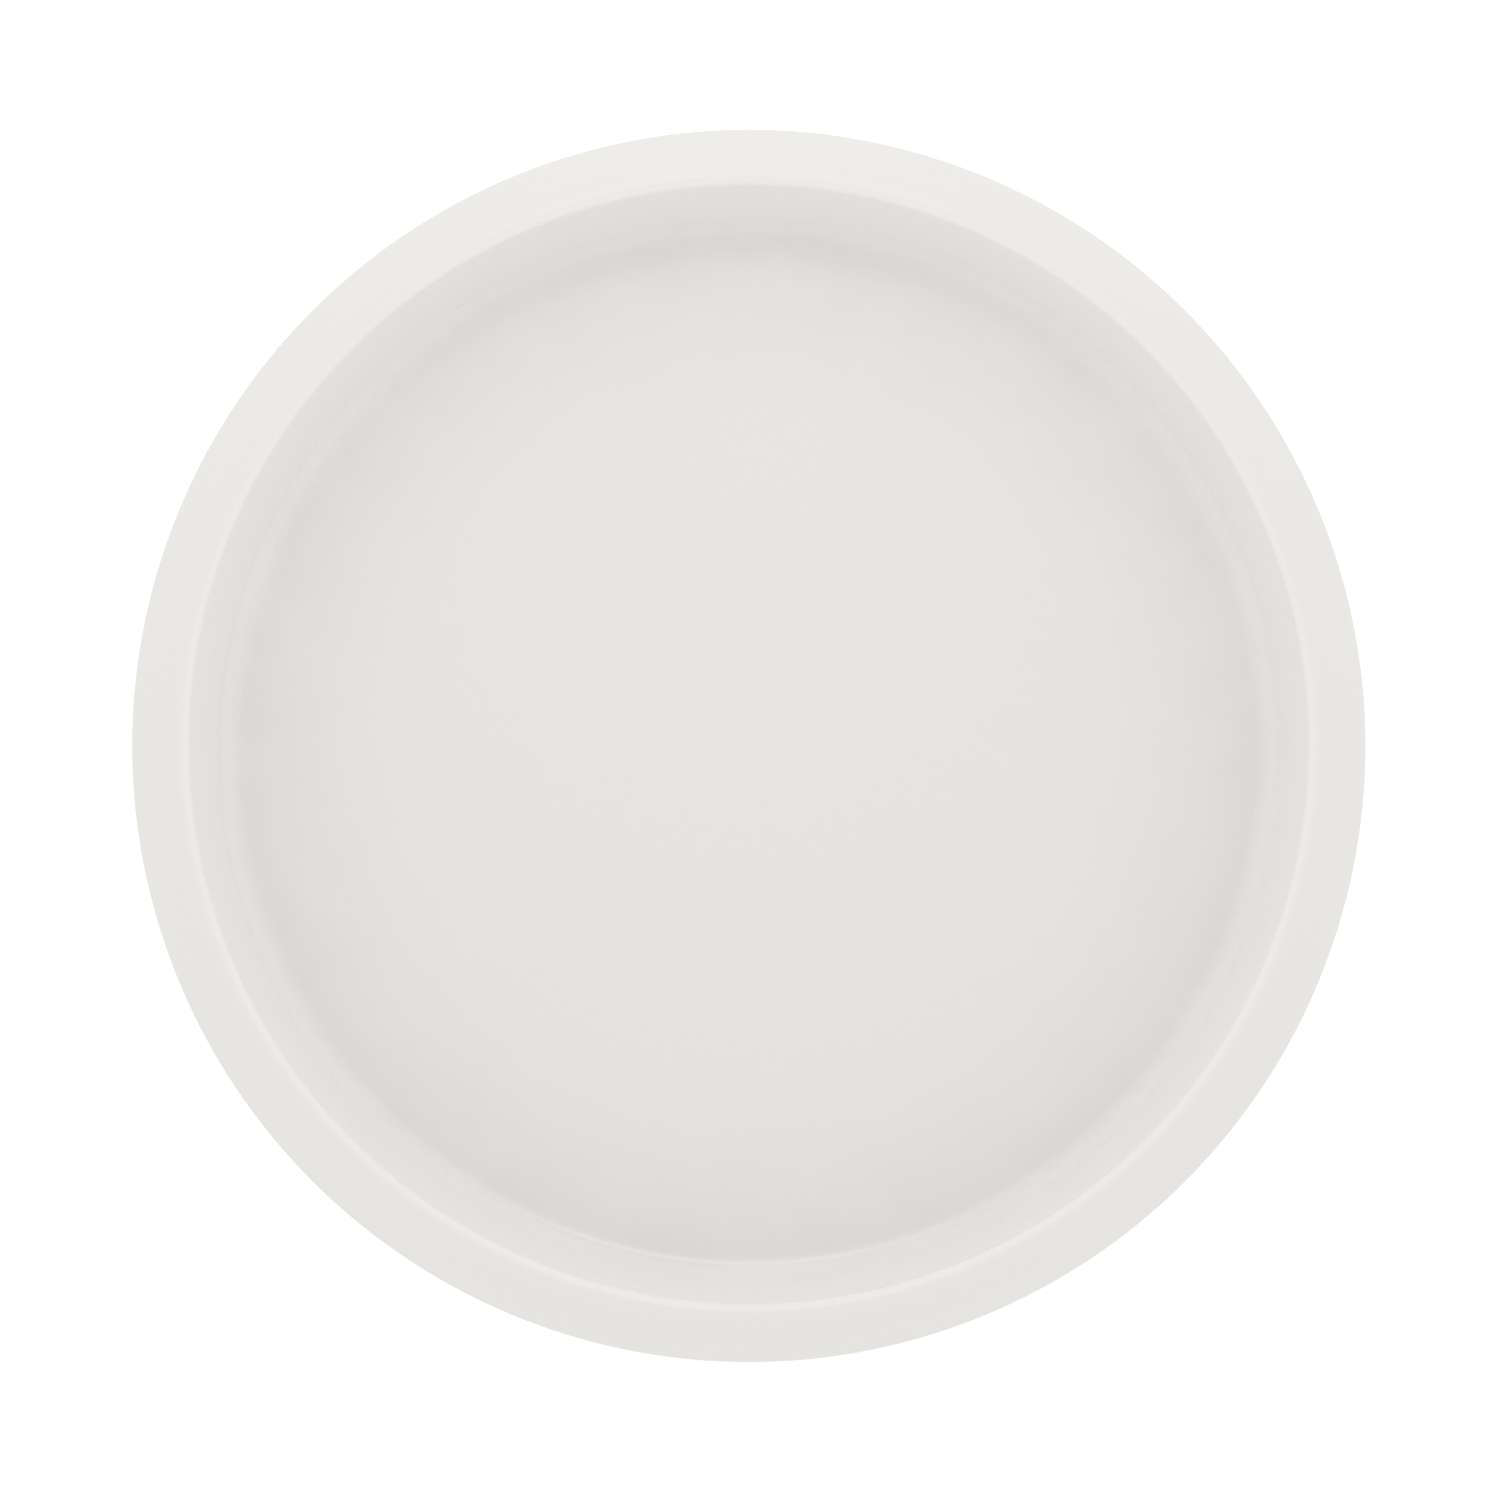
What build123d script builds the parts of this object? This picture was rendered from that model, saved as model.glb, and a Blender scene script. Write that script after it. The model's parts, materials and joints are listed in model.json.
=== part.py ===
from build123d import *

import os
from math import cos, radians, sin, tan

# Lazy susan turntable: a deep round plastic tray that turns on caged steel balls over a
# low base. Millimetres, +Z up, origin on the table under the middle of the base.
#
# The tray is one hollow-rimmed moulding. Its underside carries the upper ball race and a
# boss that turns in a bush in the base. A screw and a wide washer under the boss hold the
# two halves together. Six rubber feet push into the base from below.

# ---- driving dimensions ----
TRAY_RADIUS = 140.0          # at the sharp outer edge, the widest point
OVERALL_HEIGHT = 54.0        # table to the crest of the rim
FLOOR_TOP = 18.0             # table to the surface that things stand on
FLOOR_THICKNESS = 2.5
WALL_THICKNESS = 2.4
FLOOR_CORNER_RADIUS = 122.3  # where the floor and the wall would meet without the cove
WALL_DRAFT = 6.2             # degrees, the wall leans outwards
COVE_RADIUS = 5.0
CREST_INNER_RADIUS = 2.9     # from the wall up to the top of the rim
CREST_OUTER_RADIUS = 6.5     # from the top of the rim down to the band
CREST_FLAT = 0.05            # level stretch between the two
BEVEL_ANGLE = 35.0           # degrees below level, the band that falls from crest to edge
SKIRT_BOTTOM = 11.0
SKIRT_DRAFT = 2.5            # degrees, the skirt leans in towards the table
EDGE_RADIUS = 0.6            # on the edges of the moulded walls
SMALL_ROUND = 0.3            # on the edges of the small turned and pressed pieces
LAP = 1.0                    # how far a rib runs into the wall that it joins

RACE_RADIUS = 70.0           # from the turning axis to the ball centres
BALL_RADIUS = 3.969          # a 5/16 inch ball
BALL_COUNT = 12
BALL_CENTRE = 11.0
BALL_CLEARANCE = 0.1         # between a ball and the bottom of each groove
GROOVE_RADIUS = 4.3
RACE_PAD_INNER = 64.0
RACE_PAD_OUTER = 76.0
RACE_PAD_GAP = 2.4           # from the ball centres to each pad's face

BASE_RADIUS = 98.0
BASE_BOTTOM = 2.0
BASE_WEB_BOTTOM = 5.0
BASE_WEB_TOP = 7.2
BASE_RIM_TOP = 10.5
BASE_RIM_THICKNESS = 2.2

JOURNAL_RADIUS = 6.95        # the tray's boss, where it turns in the bush
JOURNAL_BOTTOM = 5.6
BOSS_ROOT_RADIUS = 11.0      # the thick ring that joins the boss to the tray's floor
BUSH_BORE_RADIUS = 7.0
BUSH_OUTER_RADIUS = 9.2
BUSH_FLANGE_RADIUS = 11.2
BUSH_FLANGE_BOTTOM = 5.9
BUSH_FLANGE_TOP = 6.9
HUB_TOP = 12.2
HUB_RADIUS = 13.5
HUB_RECESS_RADIUS = 12.5
HUB_SKIRT_RADIUS = 14.8

WASHER_RADIUS = 10.8
WASHER_THICKNESS = 1.2
SCREW_RADIUS = 2.0
SCREW_LENGTH = 8.0
SCREW_HEAD_RADIUS = 3.9
SCREW_HEAD_HEIGHT = 2.3
SCREW_TIP_RADIUS = 0.6
SCREW_TIP_LENGTH = 1.6
PILOT_HOLE_SPARE = 0.8       # the hole goes on this far past the screw's tip
CROSS_WIDTH = 4.4            # the recess for the driver, from end to end
CROSS_THICKNESS = 0.85
CROSS_DEPTH = 1.4

FOOT_COUNT = 6
FOOT_CIRCLE_RADIUS = 85.0
FOOT_RADIUS = 7.5
FOOT_TAPER = 0.7             # the foot is this much narrower, in radius, at the table
FOOT_SEAT = 3.8              # height of the pocket's ceiling
FOOT_POCKET_RADIUS = 7.7
FOOT_BOSS_RADIUS = 9.4
FOOT_STEM_RADIUS = 2.0
FOOT_BARB_RADIUS = 2.8
FOOT_BARB_HEIGHT = 2.2

CAGE_HALF_WIDTH = 4.6
CAGE_HALF_THICKNESS = 1.0
COLLAR_RADIUS = 6.1
COLLAR_HALF_HEIGHT = 1.9
POCKET_RADIUS = 4.12         # the cage's spherical seat around each ball

RIB_THICKNESS = 1.6
INNER_RIB_COUNT = 12
OUTER_RIB_COUNT = 24
BASE_RIB_COUNT = 12
BASE_RIB_BOTTOM = 2.8        # the ribs stop short of the rim's lower edge


def ring(inner, outer, bottom, top):
    """A plain ring about Z, or a disc where inner is 0."""
    height = top - bottom
    solid = Pos(0, 0, bottom) * Cylinder(outer, height, align=(Align.CENTER, Align.CENTER, Align.MIN))
    if inner:
        solid -= Pos(0, 0, bottom) * Cylinder(inner, height, align=(Align.CENTER, Align.CENTER, Align.MIN))
    return solid


def turned(corners):
    """A solid of revolution. Each corner is (radius from Z, height, rounding radius)."""
    points = [(r, z) for r, z, _ in corners]
    outline = FilletPolyline(*points, radius=[rounding for _, _, rounding in corners], close=True)
    return revolve(Plane.XZ * make_face(outline), axis=Axis.Z)


def groove(centre_height):
    """The torus that cuts a ball race."""
    return Pos(0, 0, centre_height) * Torus(RACE_RADIUS, GROOVE_RADIUS)


def spokes(count, inner, outer, bottom, top, thickness=RIB_THICKNESS, first=0.0):
    """Radial ribs from one radius to another."""
    plate = Box(outer - inner, thickness, top - bottom, align=(Align.MIN, Align.CENTER, Align.MIN))
    return [
        Rot(0, 0, first + 360 / count * i) * Pos(inner, 0, bottom) * plate
        for i in range(count)
    ]


# ---- the tray ----
def wall_radius(height):
    """The inner wall's radius at a height, without its cove and crest."""
    return FLOOR_CORNER_RADIUS + (height - FLOOR_TOP) * tan(radians(WALL_DRAFT))


def rim_section():
    """The rim's sharp corners: where the wall, the level top, the band and the skirt would meet."""
    wall_turn = radians(90 - WALL_DRAFT)
    top_inner_r = wall_radius(OVERALL_HEIGHT)
    flat_r = top_inner_r + CREST_INNER_RADIUS * tan(wall_turn / 2) + CREST_FLAT
    top_outer_r = flat_r + CREST_OUTER_RADIUS * tan(radians(BEVEL_ANGLE) / 2)
    edge_z = OVERALL_HEIGHT - (TRAY_RADIUS - top_outer_r) * tan(radians(BEVEL_ANGLE))
    foot_r = TRAY_RADIUS - (edge_z - SKIRT_BOTTOM) * tan(radians(SKIRT_DRAFT))
    top_inner, top_outer = (top_inner_r, OVERALL_HEIGHT), (top_outer_r, OVERALL_HEIGHT)
    return top_inner, top_outer, (TRAY_RADIUS, edge_z), (foot_r, SKIRT_BOTTOM)


def tray_shell():
    top_inner, top_outer, edge, foot_corner = rim_section()
    draft, bevel, lean = radians(WALL_DRAFT), radians(BEVEL_ANGLE), radians(SKIRT_DRAFT)
    underside = FLOOR_TOP - FLOOR_THICKNESS
    # The hollow inside the rim: the same lines, moved in by the wall's thickness.
    ceiling = OVERALL_HEIGHT - WALL_THICKNESS
    hollow_wall_r = wall_radius(underside) + WALL_THICKNESS / cos(draft)
    hollow_top_r = wall_radius(ceiling) + WALL_THICKNESS / cos(draft)
    hollow_bevel_r = top_outer[0] - WALL_THICKNESS * tan(bevel / 2)
    skirt_inner_r = foot_corner[0] - WALL_THICKNESS / cos(lean)
    band_inner_z = ceiling + (hollow_bevel_r - skirt_inner_r + foot_corner[1] * tan(lean)) * tan(bevel)
    hollow_edge_z = band_inner_z / (1 + tan(lean) * tan(bevel))
    hollow_edge_r = skirt_inner_r + (hollow_edge_z - foot_corner[1]) * tan(lean)
    return turned([
        (0, FLOOR_TOP, 0),
        (FLOOR_CORNER_RADIUS, FLOOR_TOP, COVE_RADIUS),
        (*top_inner, CREST_INNER_RADIUS),
        (*top_outer, CREST_OUTER_RADIUS),
        (*edge, EDGE_RADIUS),
        (*foot_corner, EDGE_RADIUS),
        (skirt_inner_r, foot_corner[1], EDGE_RADIUS),
        (hollow_edge_r, hollow_edge_z, EDGE_RADIUS),
        (hollow_bevel_r, ceiling, EDGE_RADIUS),
        (hollow_top_r, ceiling, EDGE_RADIUS),
        (hollow_wall_r, underside, COVE_RADIUS + WALL_THICKNESS),
        (0, underside, 0),
    ])


def tray():
    underside = FLOOR_TOP - FLOOR_THICKNESS
    into_floor = underside + FLOOR_THICKNESS / 2
    pad_face = BALL_CENTRE + RACE_PAD_GAP
    groove_centre = BALL_CENTRE + BALL_RADIUS + BALL_CLEARANCE - GROOVE_RADIUS
    rib_end = FLOOR_CORNER_RADIUS - COVE_RADIUS + LAP
    body = tray_shell()
    body += ring(RACE_PAD_INNER, RACE_PAD_OUTER, pad_face, into_floor)
    body += ring(0, BOSS_ROOT_RADIUS, pad_face, into_floor)
    body += ring(0, JOURNAL_RADIUS, JOURNAL_BOTTOM, into_floor)
    inner = spokes(INNER_RIB_COUNT, BOSS_ROOT_RADIUS - LAP, RACE_PAD_INNER + LAP, pad_face, into_floor)
    outer = spokes(OUTER_RIB_COUNT, RACE_PAD_OUTER - LAP, rib_end, pad_face, into_floor)
    body = body.fuse(*inner, *outer)
    body -= groove(groove_centre)
    body -= ring(0, SCREW_RADIUS, JOURNAL_BOTTOM, JOURNAL_BOTTOM + SCREW_LENGTH + PILOT_HOLE_SPARE)
    return body


# ---- the base ----
def base():
    groove_centre = BALL_CENTRE - BALL_RADIUS - BALL_CLEARANCE + GROOVE_RADIUS
    pad_face = BALL_CENTRE - RACE_PAD_GAP
    into_web = (BASE_WEB_BOTTOM + BASE_WEB_TOP) / 2
    inside_rim = BASE_RADIUS - BASE_RIM_THICKNESS
    body = ring(0, BASE_RADIUS - LAP, BASE_WEB_BOTTOM, BASE_WEB_TOP)
    body += turned([
        (inside_rim, BASE_BOTTOM, EDGE_RADIUS),
        (BASE_RADIUS, BASE_BOTTOM, EDGE_RADIUS),
        (BASE_RADIUS, BASE_RIM_TOP, EDGE_RADIUS),
        (inside_rim, BASE_RIM_TOP, EDGE_RADIUS),
    ])
    body += ring(RACE_PAD_INNER, RACE_PAD_OUTER, into_web, pad_face)
    half_rib = RIB_THICKNESS / 2
    body += ring(RACE_RADIUS - half_rib, RACE_RADIUS + half_rib, BASE_RIB_BOTTOM, into_web)
    body += ring(0, HUB_RADIUS, into_web, HUB_TOP)
    body += ring(0, HUB_SKIRT_RADIUS, BASE_BOTTOM, into_web)
    ribs = spokes(BASE_RIB_COUNT, HUB_SKIRT_RADIUS - LAP, inside_rim + LAP, BASE_RIB_BOTTOM, into_web)
    bosses = [seat * ring(0, FOOT_BOSS_RADIUS, BASE_RIB_BOTTOM, into_web) for seat in foot_places()]
    body = body.fuse(*ribs, *bosses)
    body -= groove(groove_centre)
    body -= ring(0, HUB_RECESS_RADIUS, BASE_BOTTOM, BUSH_FLANGE_TOP)
    body -= ring(0, BUSH_OUTER_RADIUS, BUSH_FLANGE_TOP, HUB_TOP)
    for seat in foot_places():
        body -= seat * ring(0, FOOT_POCKET_RADIUS, BASE_RIB_BOTTOM, FOOT_SEAT)
        body -= seat * ring(0, FOOT_STEM_RADIUS, FOOT_SEAT, BASE_WEB_TOP)
    return body


def foot_places():
    """Where the feet stand: between the ribs, near the base's edge."""
    half_step = 180 / BASE_RIB_COUNT
    return [
        Rot(0, 0, half_step + 360 / FOOT_COUNT * i) * Pos(FOOT_CIRCLE_RADIUS, 0, 0)
        for i in range(FOOT_COUNT)
    ]


def foot():
    """A push-in rubber foot: a pad below, a stem through the web and a barb above it."""
    barb_top = BASE_WEB_TOP + FOOT_BARB_HEIGHT
    return turned([
        (0, 0, 0),
        (FOOT_RADIUS - FOOT_TAPER, 0, EDGE_RADIUS),
        (FOOT_RADIUS, FOOT_SEAT, SMALL_ROUND),
        (FOOT_STEM_RADIUS, FOOT_SEAT, 0),
        (FOOT_STEM_RADIUS, BASE_WEB_TOP, 0),
        (FOOT_BARB_RADIUS, BASE_WEB_TOP, SMALL_ROUND),
        (FOOT_STEM_RADIUS * 0.7, barb_top, SMALL_ROUND),
        (0, barb_top, 0),
    ])


# ---- the bearing ----
def ball_places():
    """One place for each ball, turned so that its own X points away from the axis."""
    return [
        Rot(0, 0, 360 / BALL_COUNT * i) * Pos(RACE_RADIUS, 0, BALL_CENTRE)
        for i in range(BALL_COUNT)
    ]


def ball_cage():
    """A flat ring with a collar around each ball. The collars' round seats keep the balls in."""
    body = turned([
        (RACE_RADIUS - CAGE_HALF_WIDTH, BALL_CENTRE - CAGE_HALF_THICKNESS, SMALL_ROUND),
        (RACE_RADIUS + CAGE_HALF_WIDTH, BALL_CENTRE - CAGE_HALF_THICKNESS, SMALL_ROUND),
        (RACE_RADIUS + CAGE_HALF_WIDTH, BALL_CENTRE + CAGE_HALF_THICKNESS, SMALL_ROUND),
        (RACE_RADIUS - CAGE_HALF_WIDTH, BALL_CENTRE + CAGE_HALF_THICKNESS, SMALL_ROUND),
    ])
    collar = ring(0, COLLAR_RADIUS, -COLLAR_HALF_HEIGHT, COLLAR_HALF_HEIGHT)
    collar = chamfer(collar.edges().filter_by(GeomType.CIRCLE), SMALL_ROUND)
    body = body.fuse(*[place * collar for place in ball_places()])
    for place in ball_places():
        body -= place * Sphere(POCKET_RADIUS)
    return body


# ---- the pivot ----
def pivot_bush():
    return turned([
        (BUSH_BORE_RADIUS, BUSH_FLANGE_BOTTOM, SMALL_ROUND),
        (BUSH_FLANGE_RADIUS, BUSH_FLANGE_BOTTOM, SMALL_ROUND),
        (BUSH_FLANGE_RADIUS, BUSH_FLANGE_TOP, SMALL_ROUND),
        (BUSH_OUTER_RADIUS, BUSH_FLANGE_TOP, 0),
        (BUSH_OUTER_RADIUS, HUB_TOP, SMALL_ROUND),
        (BUSH_BORE_RADIUS, HUB_TOP, SMALL_ROUND),
    ])


def retaining_washer():
    washer = ring(SCREW_RADIUS, WASHER_RADIUS, JOURNAL_BOTTOM - WASHER_THICKNESS, JOURNAL_BOTTOM)
    rims = washer.edges().filter_by(GeomType.CIRCLE).group_by(SortBy.RADIUS)[-1]
    return fillet(rims, SMALL_ROUND)


def pivot_screw():
    """A pan-head screw with a cross recess. It cuts its own thread in the boss."""
    under_head = JOURNAL_BOTTOM - WASHER_THICKNESS
    head_bottom = under_head - SCREW_HEAD_HEIGHT
    tip = JOURNAL_BOTTOM + SCREW_LENGTH
    body = turned([
        (0, head_bottom, 0),
        (SCREW_HEAD_RADIUS, head_bottom, SCREW_HEAD_HEIGHT / 2),
        (SCREW_HEAD_RADIUS, under_head, SMALL_ROUND),
        (SCREW_RADIUS, under_head, 0),
        (SCREW_RADIUS, tip - SCREW_TIP_LENGTH, 0),
        (SCREW_TIP_RADIUS, tip, 0),
        (0, tip, 0),
    ])
    slot = Box(CROSS_WIDTH, CROSS_THICKNESS, CROSS_DEPTH, align=(Align.CENTER, Align.CENTER, Align.MIN))
    for angle in (0, 90):
        body -= Rot(0, 0, angle) * Pos(0, 0, head_bottom) * slot
    return body


def pieces():
    """Every node's name and shape."""
    found = {
        "tray": tray(),
        "base": base(),
        "ball_cage": ball_cage(),
        "pivot_bush": pivot_bush(),
        "retaining_washer": retaining_washer(),
        "pivot_screw": pivot_screw(),
    }
    for number, place in enumerate(ball_places(), 1):
        found[f"bearing_ball_{number:02d}"] = place * Sphere(BALL_RADIUS)
    for number, place in enumerate(foot_places(), 1):
        found[f"rubber_foot_{number}"] = place * foot()
    return found


os.makedirs("parts", exist_ok=True)
for name, shape in pieces().items():
    export_step(shape, f"parts/{name}.step")
    print(name, "solids", len(shape.solids()), "volume", round(shape.volume))
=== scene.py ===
# %% [markdown]
# # A turntable for a kitchen shelf
#
# This lesson finishes a round plastic turntable: a deep off-white tray that turns on caged
# steel balls over a low base with rubber feet. The sizes, the joints and the places of all
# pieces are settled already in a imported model, which this file loads first and never moves.
# What is added here is what a mould maker and a photographer would add: rounded edges,
# ribs with draft, grip rings, surface grain, and soft light.
#
# Almost every piece is turned or moulded about one axis, so one habit carries the whole
# lesson: draw half of a cross-section as a chain of corners, round each corner with a
# bevel, and spin the outline once round the Z axis.

# %% Load the frame
import json
from math import acos, ceil, cos, pi, radians, sin, tan, tau

import bmesh
import bpy
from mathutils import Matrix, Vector


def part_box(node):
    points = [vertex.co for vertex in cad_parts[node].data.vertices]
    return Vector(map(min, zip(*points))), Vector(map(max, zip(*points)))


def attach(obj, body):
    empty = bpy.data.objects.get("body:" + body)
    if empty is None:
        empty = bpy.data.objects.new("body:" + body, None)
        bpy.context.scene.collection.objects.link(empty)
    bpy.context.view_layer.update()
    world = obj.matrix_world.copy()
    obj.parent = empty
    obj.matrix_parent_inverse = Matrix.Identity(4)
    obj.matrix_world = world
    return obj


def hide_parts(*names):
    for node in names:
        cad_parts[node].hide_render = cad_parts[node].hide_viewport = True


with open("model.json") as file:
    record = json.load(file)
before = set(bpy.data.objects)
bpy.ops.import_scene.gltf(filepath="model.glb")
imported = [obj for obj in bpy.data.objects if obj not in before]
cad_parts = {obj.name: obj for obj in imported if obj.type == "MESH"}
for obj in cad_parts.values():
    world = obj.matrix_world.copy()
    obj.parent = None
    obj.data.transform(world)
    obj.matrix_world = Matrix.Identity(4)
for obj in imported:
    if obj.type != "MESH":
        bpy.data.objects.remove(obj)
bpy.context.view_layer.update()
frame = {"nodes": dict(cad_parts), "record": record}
nodes = frame["nodes"]
tray_low, tray_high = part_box("tray")
print("tray box, mm", [round(v * 1000, 1) for v in (*tray_low, *tray_high)])

# %% [markdown]
# ## The camera
#
# The tray is seen from nearly straight above, two degrees off the vertical, through a long
# lens. A long lens far away keeps the rim and the floor nearly concentric, and the small
# lean shows a little more of the far inner wall. The camera is made first, because all
# later choices of light and finish are judged through it.

# %% Camera
MM = 0.001
CAMERA_ELEVATION = radians(87.9)
CAMERA_DISTANCE = 1.152      # from the point that it aims at, in metres
SENSOR = 36.0                # width, and the lens's focal length, in millimetres
LENS = 121.9
AIM = Vector((0.00027, -0.00158, tray_high.z - 0.006))      # below the crest, a hair off the axis

camera_data = bpy.data.cameras.new("overhead_camera")
camera_data.sensor_width = SENSOR
camera_data.lens = LENS
camera = bpy.data.objects.new("overhead_camera", camera_data)
bpy.context.scene.collection.objects.link(camera)
back = Vector((0, -cos(CAMERA_ELEVATION), sin(CAMERA_ELEVATION)))
camera.location = AIM + back * CAMERA_DISTANCE
camera.rotation_euler = (radians(90) - CAMERA_ELEVATION, 0, 0)
bpy.context.scene.camera = camera
print("camera height, mm", round(camera.location.z * 1000))

# %% [markdown]
# ## The light table and the studio light
#
# Pale things are lit in a tent: light comes from all round, so no edge turns dark. The
# floor is an opal table that glows a little from below, which keeps it white right up to
# the rim and still leaves a faint shade under the tray. One small soft box hangs over the
# far side of the tray. It lifts the far half of the floor and the far side of the rim a
# little, and draws the thin highlights on the crest and in the cove. The table
# lets light and sight through from below, so that the base can be looked at as on glass.

# %% Stage and light
TENT_BRIGHTNESS = 0.845
BOX_TILT = radians(26)       # off the vertical, towards the far side
BOX_DISTANCE = 0.52
BOX_SIDE = 0.16
BOX_POWER = 0.20             # watts
TABLE_SIDE = 8.0
TABLE_GLOW = 0.76
TABLE_WHITE = 0.35           # how much of the light that falls on it the table sends back


def light_table(side):
    """A wide level plane at z = 0 that glows from above and is clear from below."""
    bpy.ops.object.select_all(action="DESELECT")
    bpy.ops.mesh.primitive_plane_add(size=side, location=(0, 0, 0))
    table = bpy.context.object
    table.name = "light_table"
    material = bpy.data.materials.new("opal_table")
    material.use_nodes = True
    tree = material.node_tree
    tree.nodes.clear()
    add = tree.nodes.new
    opal = add("ShaderNodeBsdfDiffuse")
    opal.inputs["Color"].default_value = (TABLE_WHITE, TABLE_WHITE, TABLE_WHITE, 1)
    glow = add("ShaderNodeEmission")
    glow.inputs["Strength"].default_value = TABLE_GLOW
    both = add("ShaderNodeAddShader")
    clear = add("ShaderNodeBsdfTransparent")
    side_seen = add("ShaderNodeNewGeometry")
    mix = add("ShaderNodeMixShader")
    out = add("ShaderNodeOutputMaterial")
    tree.links.new(opal.outputs[0], both.inputs[0])
    tree.links.new(glow.outputs[0], both.inputs[1])
    tree.links.new(side_seen.outputs["Backfacing"], mix.inputs[0])
    tree.links.new(both.outputs[0], mix.inputs[1])
    tree.links.new(clear.outputs[0], mix.inputs[2])
    tree.links.new(mix.outputs[0], out.inputs["Surface"])
    table.data.materials.append(material)
    return table


light_table(TABLE_SIDE)

world = bpy.data.worlds.new("light_tent")
world.use_nodes = True
tent = world.node_tree.nodes["Background"]
tent.inputs["Color"].default_value = (1.0, 1.0, 1.0, 1)
tent.inputs["Strength"].default_value = TENT_BRIGHTNESS
bpy.context.scene.world = world

box_data = bpy.data.lights.new("soft_box", "AREA")
box_data.shape = "SQUARE"
box_data.size = BOX_SIDE
box_data.energy = BOX_POWER
soft_box = bpy.data.objects.new("soft_box", box_data)
soft_box.location = (0, BOX_DISTANCE * sin(BOX_TILT), BOX_DISTANCE * cos(BOX_TILT))
soft_box.rotation_euler = (-BOX_TILT, 0, 0)
soft_box.visible_camera = False
bpy.context.scene.collection.objects.link(soft_box)
bpy.context.scene.view_settings.view_transform = "Standard"
print("tent", TENT_BRIGHTNESS, "soft box W", BOX_POWER)

# %% [markdown]
# ## The habit: corners, bevels and one spin
#
# A turned shape could be built ring by ring, or from a curve with a screw modifier. Here
# it is a chain of corners in the XZ plane. The chain starts as a plane merged to one
# point, each extrude adds a corner, and a vertex bevel rounds one corner at a time. The
# bevel's offset is the distance from the corner to where the arc begins, and for a
# rounding of radius R at a turn of angle A that is R times tan(A / 2). The spin then
# closes the shape, and doubles on the axis are merged into clean poles.

# %% Modelling helpers
ROUND_STEP = radians(8)      # one bevel segment for about this much turn
FEWEST_SEGMENTS = 3
EDGE_SHARE = 0.999           # a rounding takes no more than this of the edge beside its corner
SPIN_STEPS = 288
WELD = 1e-6
SMOOTH_ANGLE = radians(35)   # an edge that turns by less than this is shaded smooth
CUBIC_CM = 1e-6              # in cubic metres


def deselect_all():
    if bpy.context.mode != "OBJECT":
        bpy.ops.object.mode_set(mode="OBJECT")
    bpy.ops.object.select_all(action="DESELECT")


def only(piece):
    """Makes one piece the selected and active one."""
    deselect_all()
    piece.select_set(True)
    bpy.context.view_layer.objects.active = piece


def pick(piece, test):
    """In edit mode, selects the vertices whose place passes the test."""
    mesh = bmesh.from_edit_mesh(piece.data)
    for vertex in mesh.verts:
        vertex.select_set(test(vertex.co))
    mesh.select_flush_mode()
    bmesh.update_edit_mesh(piece.data)


def draw_chain(name, places):
    """A chain of edges through places given as (radius, height) in millimetres."""
    deselect_all()
    bpy.ops.mesh.primitive_plane_add(size=MM, location=(0, 0, 0))
    piece = bpy.context.object
    piece.name = piece.data.name = name
    bpy.ops.object.mode_set(mode="EDIT")
    bpy.ops.mesh.select_mode(type="VERT")
    bpy.ops.mesh.merge(type="CENTER")
    here = places[0]
    bpy.ops.transform.translate(value=(here[0] * MM, 0, here[1] * MM))
    for there in places[1:]:
        step = ((there[0] - here[0]) * MM, 0, (there[1] - here[1]) * MM)
        bpy.ops.mesh.extrude_vertices_move(TRANSFORM_OT_translate={"value": step})
        here = there
    return piece


def round_corner(piece, before, corner, after, radius):
    """Bevels one corner of a chain to an arc of the given radius, in millimetres."""
    a, b, c = (Vector((r, 0, z)) for r, z in (before, corner, after))
    turn = (b - a).angle(c - b)
    room = EDGE_SHARE * min((b - a).length, (c - b).length)
    reach = min(radius * tan(turn / 2), room)
    pick(piece, lambda place: (place - b * MM).length < WELD)
    bpy.ops.mesh.bevel(
        offset=reach * MM, offset_type="OFFSET", affect="VERTICES", clamp_overlap=False,
        segments=max(FEWEST_SEGMENTS, ceil(turn / ROUND_STEP)), profile=0.5)


def turned(name, corners, steps=SPIN_STEPS):
    """A closed piece spun from corners given as (radius, height, rounding) in millimetres.

    A chain that starts and ends on the axis is closed by its poles, and any other chain
    is closed into a loop first.
    """
    places = [(r, z) for r, z, _ in corners]
    loop = corners[0][0] > 0
    piece = draw_chain(name, places)
    if loop:
        first, last = (Vector((r * MM, 0, z * MM)) for r, z in (places[0], places[-1]))
        pick(piece, lambda place: (place - first).length < WELD or (place - last).length < WELD)
        bpy.ops.mesh.edge_face_add()
    for i, (r, z, rounding) in enumerate(corners):
        if rounding:
            round_corner(piece, places[i - 1], (r, z), places[(i + 1) % len(places)], rounding)
    bpy.ops.mesh.select_all(action="SELECT")
    bpy.ops.mesh.spin(steps=steps, angle=tau, center=(0, 0, 0), axis=(0, 0, 1))
    clean(piece)
    return piece


def clean(piece):
    """Welds doubles, turns all faces outwards and leaves edit mode."""
    if bpy.context.mode == "OBJECT":
        only(piece)
        bpy.ops.object.mode_set(mode="EDIT")
    bpy.ops.mesh.select_all(action="SELECT")
    bpy.ops.mesh.remove_doubles(threshold=WELD)
    bpy.ops.mesh.normals_make_consistent(inside=False)
    bpy.ops.object.mode_set(mode="OBJECT")


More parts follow.
